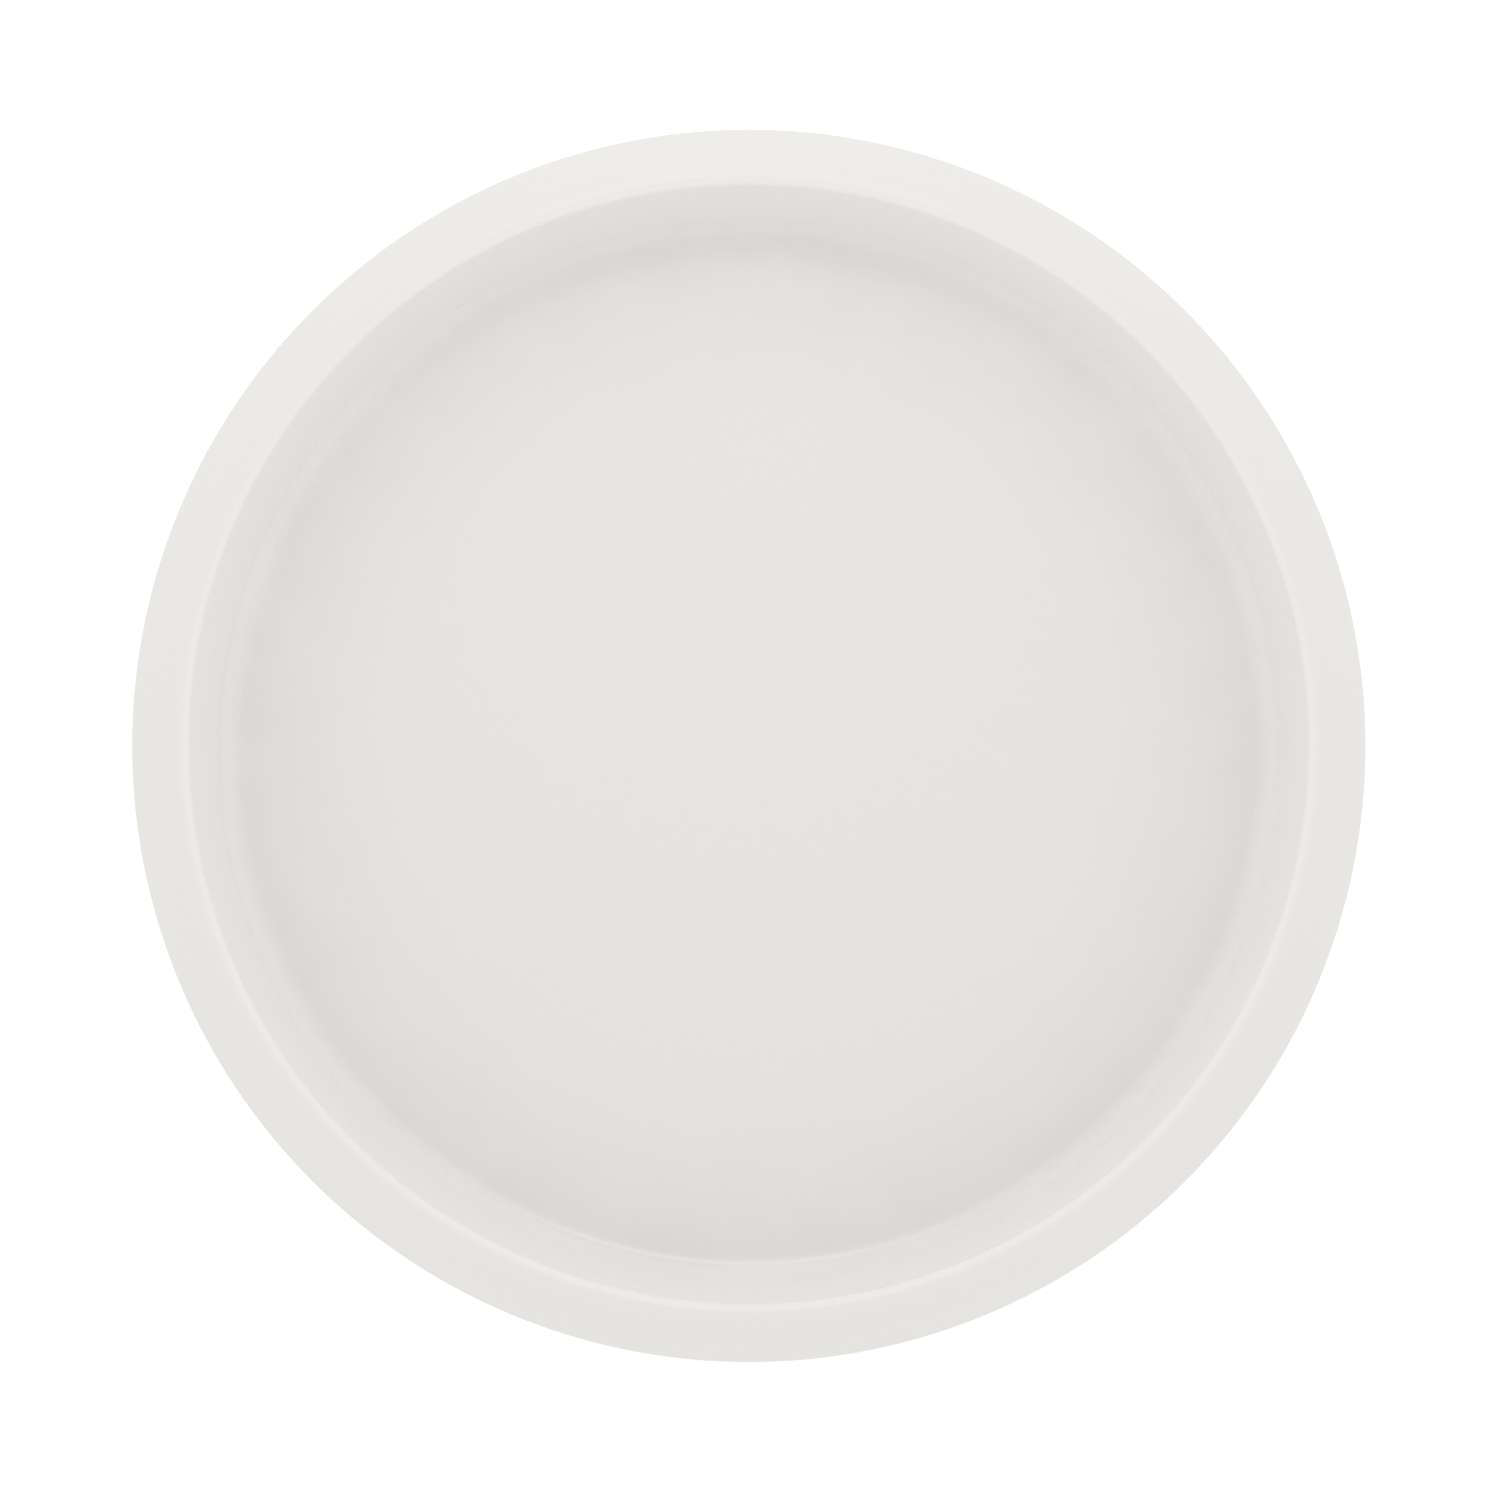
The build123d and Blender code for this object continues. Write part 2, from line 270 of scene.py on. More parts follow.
def block(name, low, high, rounding=0.0, test=None):
    """A block between two corners in millimetres. Edges whose places pass the test are rounded."""
    low, high = Vector(low) * MM, Vector(high) * MM
    deselect_all()
    bpy.ops.mesh.primitive_cube_add(size=1, location=(low + high) / 2, scale=high - low)
    piece = bpy.context.object
    piece.name = piece.data.name = name
    bpy.ops.object.transform_apply(location=True, rotation=True, scale=True)
    bpy.ops.object.mode_set(mode="EDIT")
    bpy.ops.mesh.select_mode(type="VERT")
    if rounding:
        pick(piece, test)
        bpy.ops.mesh.bevel(offset=rounding * MM, segments=FEWEST_SEGMENTS, affect="EDGES")
    bpy.ops.object.mode_set(mode="OBJECT")
    return piece


def repeat_round(piece, count):
    """Fills a circle about Z with copies of what is there, as a spin with duplicates does."""
    only(piece)
    bpy.ops.object.mode_set(mode="EDIT")
    bpy.ops.mesh.select_all(action="SELECT")
    bpy.ops.mesh.spin(
        steps=count - 1, angle=tau * (count - 1) / count, dupli=True,
        center=(0, 0, 0), axis=(0, 0, 1))
    clean(piece)
    return piece


def carve(piece, tool, operation):
    """Adds a tool's volume to a piece (UNION) or takes it away (DIFFERENCE)."""
    only(piece)
    modifier = piece.modifiers.new("carve", "BOOLEAN")
    modifier.operation = operation
    modifier.solver = "MANIFOLD"
    modifier.object = tool
    bpy.ops.object.modifier_apply(modifier=modifier.name)
    bpy.data.objects.remove(tool)
    return piece


def finish_piece(piece, body, node):
    """Shades a piece, hangs it on its body and hides the imported node that it stands for."""
    only(piece)
    bpy.ops.object.shade_smooth_by_angle(angle=SMOOTH_ANGLE)
    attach(piece, body)
    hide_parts(node)
    mesh = bmesh.new()
    mesh.from_mesh(piece.data)
    open_edges = sum(not edge.is_manifold for edge in mesh.edges)
    volume = mesh.calc_volume(signed=True) / CUBIC_CM
    mesh.free()
    print(piece.name, "faces", len(piece.data.polygons), "open edges", open_edges, "cm3", round(volume, 2))
    return piece


# %% [markdown]
# ## The tray
#
# The tray is one moulding: a flat floor, a cove, a wall that leans out a little so that it
# leaves the mould, a rounded crest, a band that falls to a crisp outer edge, and a skirt.
# The rim is hollow from below. All of that is one outline. The crest has two roundings, a
# small one towards the wall and a wider one towards the band, which is what makes its
# highlight thin on one side and soft on the other. The underside belongs to the same
# outline: the hollow rim, the upper ball race, and the boss that turns in the base.

# %% Tray sizes
# Lengths are in millimetres. Names of round things stand for their radii.
HEIGHT = tray_high.z / MM
TRAY_RADIUS = 140.0
FLOOR = 18.0
UNDERSIDE = 15.5
WALL = 2.4                   # thickness of the wall, the rim and the skirt
FLOOR_CORNER = 122.3         # where floor and wall would meet without the cove
DRAFT = radians(6.9)         # the wall leans out, 0.7 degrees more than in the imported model
BAND_FALL = radians(35)
SKIRT_FOOT = 11.0
SKIRT_LEAN = radians(2.5)    # the skirt leans in towards the table
COVE = 5.0
CREST_INNER = 2.2            # from the wall up to the top, 0.7 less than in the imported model
CREST_OUTER = 6.8            # from the top down to the band, 0.3 more than there
CREST_FLAT = 0.05
EDGE = 0.6                   # rounding of free edges
SMALL = 0.3                  # rounding of fitted edges
PAD_INNER = 64.0
PAD_OUTER = 76.0
PAD_GAP = 2.4                # from the ball centres to each race pad's face
BOSS_ROOT = 11.0
JOURNAL = 6.95               # the part of the boss that turns in the bush
JOURNAL_FOOT = 5.6
PILOT_HOLE = 2.0
PILOT_TOP = 14.4

RACE = 70.0                  # the circle on which the balls run
BALL_CENTRE = 11.0
BALL = 3.969
BALL_PLAY = 0.1
GROOVE = 4.3                 # a groove is a little wider than its ball


def wall_at(height):
    """The inner wall's radius at a height, without cove and crest."""
    return FLOOR_CORNER + (height - FLOOR) * tan(DRAFT)


def groove_corners(face, up):
    """A ball groove in a race pad, from its inner rim to its outer rim.

    The tangents at the two rims meet at one corner, and that corner's bevel is the arc.
    """
    deepest = BALL_CENTRE + up * (BALL + BALL_PLAY)
    centre = deepest - up * GROOVE
    half_angle = acos(abs(face - centre) / GROOVE)
    half_width = GROOVE * sin(half_angle)
    meeting = centre + up * GROOVE / cos(half_angle)
    return [(RACE - half_width, face, 0), (RACE, meeting, GROOVE), (RACE + half_width, face, 0)]


def rim_corners():
    """The rim's outer corners from the wall to the skirt's foot, and the hollow's behind them."""
    top_inner = wall_at(HEIGHT)
    flat = top_inner + CREST_INNER * tan((pi / 2 - DRAFT) / 2) + CREST_FLAT
    top_outer = flat + CREST_OUTER * tan(BAND_FALL / 2)
    edge = HEIGHT - (TRAY_RADIUS - top_outer) * tan(BAND_FALL)
    foot = TRAY_RADIUS - (edge - SKIRT_FOOT) * tan(SKIRT_LEAN)
    ceiling = HEIGHT - WALL
    hollow_top = wall_at(ceiling) + WALL / cos(DRAFT)
    hollow_band = top_outer - WALL * tan(BAND_FALL / 2)
    skirt_inner = foot - WALL / cos(SKIRT_LEAN)
    slopes = tan(BAND_FALL) * tan(SKIRT_LEAN)
    hollow_edge = (
        ceiling + (hollow_band - skirt_inner) * tan(BAND_FALL) + SKIRT_FOOT * slopes) / (1 + slopes)
    hollow_edge_radius = skirt_inner + (hollow_edge - SKIRT_FOOT) * tan(SKIRT_LEAN)
    print("band from", round(top_outer, 2), "to", TRAY_RADIUS, "its edge at", round(edge, 2))
    return [
        (top_inner, HEIGHT, CREST_INNER),
        (top_outer, HEIGHT, CREST_OUTER),
        (TRAY_RADIUS, edge, EDGE),
        (foot, SKIRT_FOOT, EDGE),
        (skirt_inner, SKIRT_FOOT, EDGE),
        (hollow_edge_radius, hollow_edge, EDGE),
        (hollow_band, ceiling, EDGE),
        (hollow_top, ceiling, EDGE),
    ]


# %% Tray outline and spin
pad_face = BALL_CENTRE + PAD_GAP
upper_groove = groove_corners(pad_face, 1)
tray = turned("tray_moulding", [
    (0, FLOOR, 0),
    (FLOOR_CORNER, FLOOR, COVE),
    *rim_corners(),
    (wall_at(UNDERSIDE) + WALL / cos(DRAFT), UNDERSIDE, COVE + WALL),
    (PAD_OUTER, UNDERSIDE, SMALL),
    (PAD_OUTER, pad_face, SMALL),
    *reversed(upper_groove),
    (PAD_INNER, pad_face, SMALL),
    (PAD_INNER, UNDERSIDE, SMALL),
    (BOSS_ROOT, UNDERSIDE, SMALL),
    (BOSS_ROOT, pad_face, SMALL),
    (JOURNAL, pad_face, SMALL),
    (JOURNAL, JOURNAL_FOOT, SMALL),
    (PILOT_HOLE, JOURNAL_FOOT, 0),
    (PILOT_HOLE, PILOT_TOP, 0),
    (0, PILOT_TOP, 0),
])

# %% [markdown]
# ## The tray's ribs
#
# Ribs stiffen a thin floor without thickening it. One rib is a block whose free edge is
# rounded, as a cutter with rounded corners leaves it, and then narrowed, so that the rib
# draws out of the mould. Duplicates by spin set the others round the axis, and one union
# makes them part of the moulding, so that no wall hides inside another.

# %% Tray ribs
RIB = 1.6                    # at the root
RIB_TIP = 1.2                # the draft narrows a rib towards its free edge
INNER_RIBS = 12
OUTER_RIBS = 24
LAP = 1.0                    # how far a rib runs into the wall that it joins
RIB_ROUND = 0.4


def ribs(name, count, inner, outer, low, high):
    """Level ribs from one radius to another, narrower and rounded at their lower edge."""
    def lower(place):
        return place.z < (low + high) / 2 * MM

    rib = block(name, (inner, -RIB / 2, low), (outer, RIB / 2, high), RIB_ROUND, lower)
    bpy.ops.object.mode_set(mode="EDIT")
    pick(rib, lower)
    bpy.ops.transform.resize(value=(1, RIB_TIP / RIB, 1))
    return repeat_round(rib, count)


in_floor = (UNDERSIDE + FLOOR) / 2
carve(tray, ribs("inner_ribs", INNER_RIBS, BOSS_ROOT - LAP, PAD_INNER + LAP, pad_face, in_floor), "UNION")
rib_end = FLOOR_CORNER - COVE + LAP
carve(tray, ribs("outer_ribs", OUTER_RIBS, PAD_OUTER - LAP, rib_end, pad_face, in_floor), "UNION")
finish_piece(tray, "tray", "tray")

# %% [markdown]
# ## The base
#
# The base is a shallow disc with a rim turned both up and down, the lower ball race and a
# hub. It is an outline that never meets the axis, because the hub is open, so the chain is
# closed into a loop before the spin. Ribs and foot bosses are added by union, and the
# pockets and stem holes are cut last, so that a pocket also trims what crosses it.

# %% Base
BASE = 98.0
BASE_FOOT = 2.0
WEB_LOW = 5.0
WEB_HIGH = 7.2
BASE_RIM_TOP = 10.5
BASE_RIM = 2.2
HUB_TOP = 12.2
HUB = 13.5
HUB_RECESS = 12.5
HUB_SKIRT = 14.8
BUSH_OUTER = 9.2
BUSH_FLANGE_TOP = 6.9
BASE_RIBS = 12
BASE_RIB_LOW = 2.8
FEET = 6
FOOT_CIRCLE = 85.0
FOOT_BOSS = 9.4
FOOT_POCKET = 7.7
FOOT_SEAT = 3.8
STEM = 2.0
ROUND_STEPS = 96             # spin steps for small round features


def move_to_circle(piece, angle):
    """Moves a piece out to an angle on the feet's circle and puts the move into its mesh."""
    only(piece)
    bpy.ops.transform.translate(value=Vector((cos(angle), sin(angle), 0)) * FOOT_CIRCLE * MM)
    bpy.ops.object.transform_apply(location=True, rotation=True, scale=True)


def disc_at(name, radius, low, high, angle):
    """A small disc, spun at the axis and moved out to the feet's circle."""
    piece = turned(name, [(0, low, 0), (radius, low, 0), (radius, high, 0), (0, high, 0)], ROUND_STEPS)
    move_to_circle(piece, angle)
    return piece


base_inside = BASE - BASE_RIM
base_pad = BALL_CENTRE - PAD_GAP
half_rib = RIB / 2
base = turned("base_moulding", [
    (BUSH_OUTER, BUSH_FLANGE_TOP, 0),
    (HUB_RECESS, BUSH_FLANGE_TOP, SMALL),
    (HUB_RECESS, BASE_FOOT, EDGE),
    (HUB_SKIRT, BASE_FOOT, EDGE),
    (HUB_SKIRT, WEB_LOW, EDGE),
    (RACE - half_rib, WEB_LOW, EDGE),
    (RACE - half_rib, BASE_RIB_LOW, RIB_ROUND),
    (RACE + half_rib, BASE_RIB_LOW, RIB_ROUND),
    (RACE + half_rib, WEB_LOW, EDGE),
    (base_inside, WEB_LOW, EDGE),
    (base_inside, BASE_FOOT, EDGE),
    (BASE, BASE_FOOT, EDGE),
    (BASE, BASE_RIM_TOP, EDGE),
    (base_inside, BASE_RIM_TOP, EDGE),
    (base_inside, WEB_HIGH, EDGE),
    (PAD_OUTER, WEB_HIGH, SMALL),
    (PAD_OUTER, base_pad, SMALL),
    *reversed(groove_corners(base_pad, -1)),
    (PAD_INNER, base_pad, SMALL),
    (PAD_INNER, WEB_HIGH, SMALL),
    (HUB, WEB_HIGH, EDGE),
    (HUB, HUB_TOP, EDGE),
    (BUSH_OUTER, HUB_TOP, SMALL),
])
in_web = (WEB_LOW + WEB_HIGH) / 2
foot_start = pi / BASE_RIBS
foot_angles = [foot_start + tau / FEET * i for i in range(FEET)]
carve(base, ribs("base_ribs", BASE_RIBS, HUB_SKIRT - LAP, base_inside + LAP, BASE_RIB_LOW, in_web), "UNION")
foot_tools = (
    ("boss", FOOT_BOSS, BASE_RIB_LOW, in_web, "UNION"),
    ("pocket", FOOT_POCKET, BASE_RIB_LOW - LAP, FOOT_SEAT, "DIFFERENCE"),
    ("stem_hole", STEM, FOOT_SEAT - LAP, WEB_HIGH + LAP, "DIFFERENCE"),
)
for name, radius, low, high, operation in foot_tools:
    tool = disc_at(name, radius, low, high, foot_angles[0])
    carve(base, repeat_round(tool, FEET), operation)
finish_piece(base, "base", "base")

# %% [markdown]
# ## The feet
#
# A rubber foot is a soft button with a barbed stem. The button tapers towards the table,
# and rings moulded into its face give it grip. One foot is turned at the axis, and each
# copy gets its own mesh and is moved out to its pocket.

# %% Feet
FOOT = 7.5
FOOT_TAPER = 0.7
BARB = 2.8
BARB_TIP = 1.4
BARB_HEIGHT = 2.2
GRIP_RINGS = (2.0, 4.4)      # radii of the two grooves in the face
GRIP_HALF_WIDTH = 0.5
GRIP_DEPTH = 0.5

face_corners = []
for ring_radius in GRIP_RINGS:
    face_corners += [
        (ring_radius - GRIP_HALF_WIDTH, 0, SMALL / 2),
        (ring_radius - GRIP_HALF_WIDTH / 2, GRIP_DEPTH, SMALL / 2),
        (ring_radius + GRIP_HALF_WIDTH / 2, GRIP_DEPTH, SMALL / 2),
        (ring_radius + GRIP_HALF_WIDTH, 0, SMALL / 2),
    ]
first_foot = turned("foot_1_rubber", [
    (0, 0, 0),
    *face_corners,
    (FOOT - FOOT_TAPER, 0, EDGE),
    (FOOT, FOOT_SEAT, SMALL),
    (STEM, FOOT_SEAT, 0),
    (STEM, WEB_HIGH, 0),
    (BARB, WEB_HIGH, SMALL),
    (BARB_TIP, WEB_HIGH + BARB_HEIGHT, SMALL),
    (0, WEB_HIGH + BARB_HEIGHT, 0),
], ROUND_STEPS)
feet = [first_foot]
for number in range(2, FEET + 1):
    copy = first_foot.copy()
    copy.data = first_foot.data.copy()
    copy.name = copy.data.name = f"foot_{number}_rubber"
    bpy.context.scene.collection.objects.link(copy)
    feet.append(copy)
for number, (rubber, angle) in enumerate(zip(feet, foot_angles), 1):
    move_to_circle(rubber, angle)
    finish_piece(rubber, "base", f"rubber_foot_{number}")

# %% [markdown]
# ## The washer and the screw
#
# A pressed washer has a rolled outer edge and a hole with a small chamfer. The screw has a
# pan head, domed a little, and a cross recess whose four wings taper towards the bottom.
# The recess is a cross of two blocks, narrowed at its inner end, and cut out of the head.

# %% Washer and screw
WASHER = 10.8
WASHER_THICKNESS = 1.2
SHANK = 2.0
SCREW_LENGTH = 8.0
HEAD = 3.9
HEAD_HEIGHT = 2.3
TIP = 0.6
TIP_LENGTH = 1.6
CROSS = 4.4                  # across the recess's wings
CROSS_THICKNESS = 0.85
CROSS_DEPTH = 1.4
CROSS_TAPER = 0.45           # the share of its width that a wing keeps at the bottom

washer_low = JOURNAL_FOOT - WASHER_THICKNESS
washer = turned("washer_pressed", [
    (SHANK, washer_low, 0),
    (WASHER, washer_low, SMALL),
    (WASHER, JOURNAL_FOOT, SMALL),
    (SHANK, JOURNAL_FOOT, 0),
])
finish_piece(washer, "tray", "retaining_washer")

head_low = washer_low - HEAD_HEIGHT
screw = turned("screw_pan_head", [
    (0, head_low, 0),
    (HEAD, head_low, HEAD_HEIGHT / 2),
    (HEAD, washer_low, SMALL),
    (SHANK, washer_low, 0),
    (SHANK, JOURNAL_FOOT + SCREW_LENGTH - TIP_LENGTH, 0),
    (TIP, JOURNAL_FOOT + SCREW_LENGTH, 0),
    (0, JOURNAL_FOOT + SCREW_LENGTH, 0),
], ROUND_STEPS)
for turn in (0, pi / 2):
    wing = block(
        "wing", (-CROSS / 2, -CROSS_THICKNESS / 2, head_low - LAP),
        (CROSS / 2, CROSS_THICKNESS / 2, head_low + CROSS_DEPTH))
    bpy.ops.object.mode_set(mode="EDIT")
    pick(wing, lambda place: place.z > head_low * MM)
    bpy.ops.transform.resize(value=(CROSS_TAPER, CROSS_TAPER, 1))
    bpy.ops.object.mode_set(mode="OBJECT")
    wing.rotation_euler = (0, 0, turn)
    bpy.ops.object.transform_apply(location=True, rotation=True, scale=True)
    carve(screw, wing, "DIFFERENCE")
finish_piece(screw, "tray", "pivot_screw")

# %% [markdown]
# ## Effects that several finishes share
#
# Moulded plastic has three things in common wherever it is seen: a fine grain from the
# mould's spark-eroded skin, a slow drift of gloss where the resin cooled unevenly, and a
# faint drift of tint. Each is a node group with named inputs, so that every finish sets
# its own size and strength. The groups put out only values and colours, and the shader
# stays in each material.

# %% Shared groups
def new_group(name, inputs, outputs):
    """An empty shader group with float, colour or vector sockets."""
    group = bpy.data.node_groups.new(name, "ShaderNodeTree")
    for label, kind, value in inputs:
        socket = group.interface.new_socket(label, in_out="INPUT", socket_type=kind)
        if value is not None:
            socket.default_value = value
    for label, kind in outputs:
        group.interface.new_socket(label, in_out="OUTPUT", socket_type=kind)
    return group, group.nodes.new("NodeGroupInput"), group.nodes.new("NodeGroupOutput")


def math_node(tree, operation, first, second):
    """A Math node. Each operand is a socket or a number."""
    node = tree.nodes.new("ShaderNodeMath")
    node.operation = operation
    for socket, operand in zip(node.inputs, (first, second)):
        if isinstance(operand, (int, float)):
            socket.default_value = operand
        else:
            tree.links.new(operand, socket)
    return node.outputs[0]


def noise_node(tree, vector, scale, detail):
    """A noise whose scale is a socket or a number, in cycles per metre."""
    node = tree.nodes.new("ShaderNodeTexNoise")
    node.inputs["Detail"].default_value = detail
    tree.links.new(vector, node.inputs["Vector"])
    if isinstance(scale, (int, float)):
        node.inputs["Scale"].default_value = scale
    else:
        tree.links.new(scale, node.inputs["Scale"])
    return node.outputs[0]


def split(tree, vector):
    """A Separate XYZ node's outputs."""
    node = tree.nodes.new("ShaderNodeSeparateXYZ")
    tree.links.new(vector, node.inputs[0])
    return node.outputs


def distance_from_axis(tree, parts):
    """The distance from the Z axis of a place that has been split."""
    squares = [math_node(tree, "MULTIPLY", parts[axis], parts[axis]) for axis in ("X", "Y")]
    return math_node(tree, "SQRT", math_node(tree, "ADD", *squares), 0.0)


FLOAT, VECTOR = "NodeSocketFloat", "NodeSocketVector"
COARSE_CYCLES = 0.37         # cycles of the coarse grain for each one of the fine grain
COARSE_WEIGHT = 0.6
NOISE_LOW, NOISE_HIGH = 0.3, 0.7            # nearly all values of a noise lie between these
WOBBLE_CYCLES = 400.0        # cycles per metre with which a turned ring strays
WOBBLE = 9.0                 # how far it strays, as an angle of its wave
SCUFF_START = 0.75           # the noise above which a scuff starts when its amount is 0
SCUFF_FADE = 0.15


def grain_group():
    """Height of a fine even grain. Size is the distance between its bumps in millimetres."""
    group, given, put = new_group(
        "moulded_grain", [("Vector", VECTOR, None), ("Size mm", FLOAT, 0.5)], [("Height", FLOAT)])
    cycles = math_node(group, "DIVIDE", 1 / MM, given.outputs["Size mm"])
    fine = noise_node(group, given.outputs["Vector"], cycles, 2)
    wide_cycles = math_node(group, "MULTIPLY", cycles, COARSE_CYCLES)
    coarse = noise_node(group, given.outputs["Vector"], wide_cycles, 1)
    both = math_node(group, "ADD", fine, math_node(group, "MULTIPLY", coarse, COARSE_WEIGHT))
    group.links.new(both, put.inputs["Height"])
    return group


def drift_group():
    """A value that wanders slowly between Low and High over the surface."""
    group, given, put = new_group(
        "slow_drift",
        [("Vector", VECTOR, None), ("Size mm", FLOAT, 60.0), ("Low", FLOAT, 0.0), ("High", FLOAT, 1.0)],
        [("Value", FLOAT)])
    cycles = math_node(group, "DIVIDE", 1 / MM, given.outputs["Size mm"])
    noise = noise_node(group, given.outputs["Vector"], cycles, 3)
    spread = group.nodes.new("ShaderNodeMapRange")
    spread.inputs["From Min"].default_value = NOISE_LOW
    spread.inputs["From Max"].default_value = NOISE_HIGH
    group.links.new(noise, spread.inputs["Value"])
    group.links.new(given.outputs["Low"], spread.inputs["To Min"])
    group.links.new(given.outputs["High"], spread.inputs["To Max"])
    group.links.new(spread.outputs[0], put.inputs["Value"])
    return group


def rings_group():
    """Height of fine turned rings about Z. Size is the distance from ring to ring."""
    group, given, put = new_group(
        "turned_rings", [("Vector", VECTOR, None), ("Size mm", FLOAT, 0.3)], [("Height", FLOAT)])
    parts = split(group, given.outputs["Vector"])
    across = math_node(group, "MULTIPLY", distance_from_axis(group, parts), tau / MM)
    turns = math_node(group, "DIVIDE", across, given.outputs["Size mm"])
    stray = noise_node(group, given.outputs["Vector"], WOBBLE_CYCLES, 2)
    wobble = math_node(group, "MULTIPLY", stray, WOBBLE)
    wave = math_node(group, "SINE", math_node(group, "ADD", turns, wobble), 0.0)
    group.links.new(wave, put.inputs["Height"])
    return group


def scuff_group():
    """A mask of short rubbed patches, from none at Amount 0 to nearly everywhere at 1."""
    group, given, put = new_group(
        "scuffs",
        [("Vector", VECTOR, None), ("Size mm", FLOAT, 4.0), ("Amount", FLOAT, 0.3)],
        [("Mask", FLOAT)])
    cycles = math_node(group, "DIVIDE", 1 / MM, given.outputs["Size mm"])
    noise = noise_node(group, given.outputs["Vector"], cycles, 6)
    edge = group.nodes.new("ShaderNodeMapRange")
    half_amount = math_node(group, "MULTIPLY", given.outputs["Amount"], 0.5)
    threshold = math_node(group, "SUBTRACT", SCUFF_START, half_amount)
    group.links.new(noise, edge.inputs["Value"])
    group.links.new(threshold, edge.inputs["From Min"])
    group.links.new(math_node(group, "ADD", threshold, SCUFF_FADE), edge.inputs["From Max"])
    group.links.new(edge.outputs[0], put.inputs["Mask"])
    return group


GRAIN, DRIFT, RINGS, SCUFFS = grain_group(), drift_group(), rings_group(), scuff_group()
print("groups", [group.name for group in (GRAIN, DRIFT, RINGS, SCUFFS)])


# %% [markdown]
# ## The habit for finishes
#
# Each finish starts from one Principled shader. Its colour wanders a little between two
# near tints, its roughness drifts, and a bump lays a grain or turned rings over it. All
# patterns read Object coordinates, so they stay on the piece while it turns. What differs
# from finish to finish is then only a line of values.

# %% Finish helpers
PLASTIC_DRIFT = 55.0         # size of the slow drift of tint over a moulding
GLOSS_DRIFT = 0.6            # size of the drift of roughness, as a share of the tint's
PLASTIC_IOR = 1.49


def use_group(tree, group, vector, **values):
    """Places a group and sets its inputs. Names with spaces are given with underscores."""
    node = tree.nodes.new("ShaderNodeGroup")
    node.node_tree = group
    tree.links.new(vector, node.inputs["Vector"])
    for label, value in values.items():
        node.inputs[label.replace("_", " ")].default_value = value
    return node.outputs[0]


def mix_colours(tree, factor, first, second):
    """Blends two colours, each a socket or three numbers, by a factor that varies."""
    mix = tree.nodes.new("ShaderNodeMix")
    mix.data_type = "RGBA"
    tree.links.new(factor, mix.inputs["Factor"])
    for label, colour in (("A", first), ("B", second)):
        if isinstance(colour, tuple):
            mix.inputs[label].default_value = (*colour, 1)
        else:
            tree.links.new(colour, mix.inputs[label])
    return mix.outputs["Result"]


def remap(tree, value, low, high):
    """0 where the value is at or below low, 1 at or above high, and smooth between."""
    node = tree.nodes.new("ShaderNodeMapRange")
    node.interpolation_type = "SMOOTHSTEP"
    node.inputs["From Min"].default_value = low
    node.inputs["From Max"].default_value = high
    tree.links.new(value, node.inputs["Value"])
    return node.outputs[0]


def inverse(tree, mask):
    """1 where the mask is 0 and 0 where it is 1."""
    return math_node(tree, "SUBTRACT", 1.0, mask)


def fed_by(shader, label):
    """The socket that feeds one of the shader's inputs."""
    return shader.inputs[label].links[0].from_socket


def new_finish(name, tints, drift_mm, roughness, metallic=0.0):
    """A Principled material with a drifting colour and roughness. Returns it with its parts."""
    material = bpy.data.materials.new(name)
    material.use_nodes = True
    tree = material.node_tree
    shader = tree.nodes["Principled BSDF"]
    shader.inputs["Metallic"].default_value = metallic
    place = tree.nodes.new("ShaderNodeTexCoord").outputs["Object"]
    colour = mix_colours(tree, use_group(tree, DRIFT, place, Size_mm=drift_mm), *tints)
    tree.links.new(colour, shader.inputs["Base Color"])
    low, high = roughness
    rough = use_group(tree, DRIFT, place, Size_mm=drift_mm * GLOSS_DRIFT, Low=low, High=high)
    tree.links.new(rough, shader.inputs["Roughness"])
    return material, tree, shader, place


def add_bump(tree, shader, height, depth_mm):
    """Feeds a height to the shader's normal through one Bump node."""
    bump = tree.nodes.new("ShaderNodeBump")
    bump.inputs["Strength"].default_value = 1.0
    bump.inputs["Distance"].default_value = depth_mm * MM
    tree.links.new(height, bump.inputs["Height"])
    tree.links.new(bump.outputs["Normal"], shader.inputs["Normal"])


# %% [markdown]
# ## The tray's plastic
#
# One moulding can have several skins, because each part of the mould is finished in its
# own way. Here the wall gets a polish, the floor a spark-eroded grain and the rim a fine
# matt. That is a choice, because from above and in even light a skin can't be told from
# shade. Separate materials on the faces would give hard borders. Masks from the place on
# the piece fade one skin into the next instead.
#
# The tints were set by measure, until floor, wall and rim came out as bright as wanted
# under this light, so they hold painted light and shade as well as pigment: the wall is
# painted lighter than the floor and the rim, and the cove darker than the wall. The wide
# veil on the floor towards the wall is painted shade, standing in for shade that this
# light doesn't throw. Under another light it would look like dirt, and with a light that
# throws that shade it should be taken out.

# %% Tray plastic
# Floor, wall and rim are one plastic. The wall's tints are painted lighter and the floor's and rim's
# darker: painted light and shade that make each zone as bright as wanted under this light.
WALL_LIT_TINTS = (0.957, 0.948, 0.933), (0.950, 0.940, 0.924)
WALL_ROUGHNESS = 0.20, 0.27
FLOOR_SHADED_TINT = 0.864, 0.851, 0.823
BAND_SHADED_TINT = 0.892, 0.875, 0.844
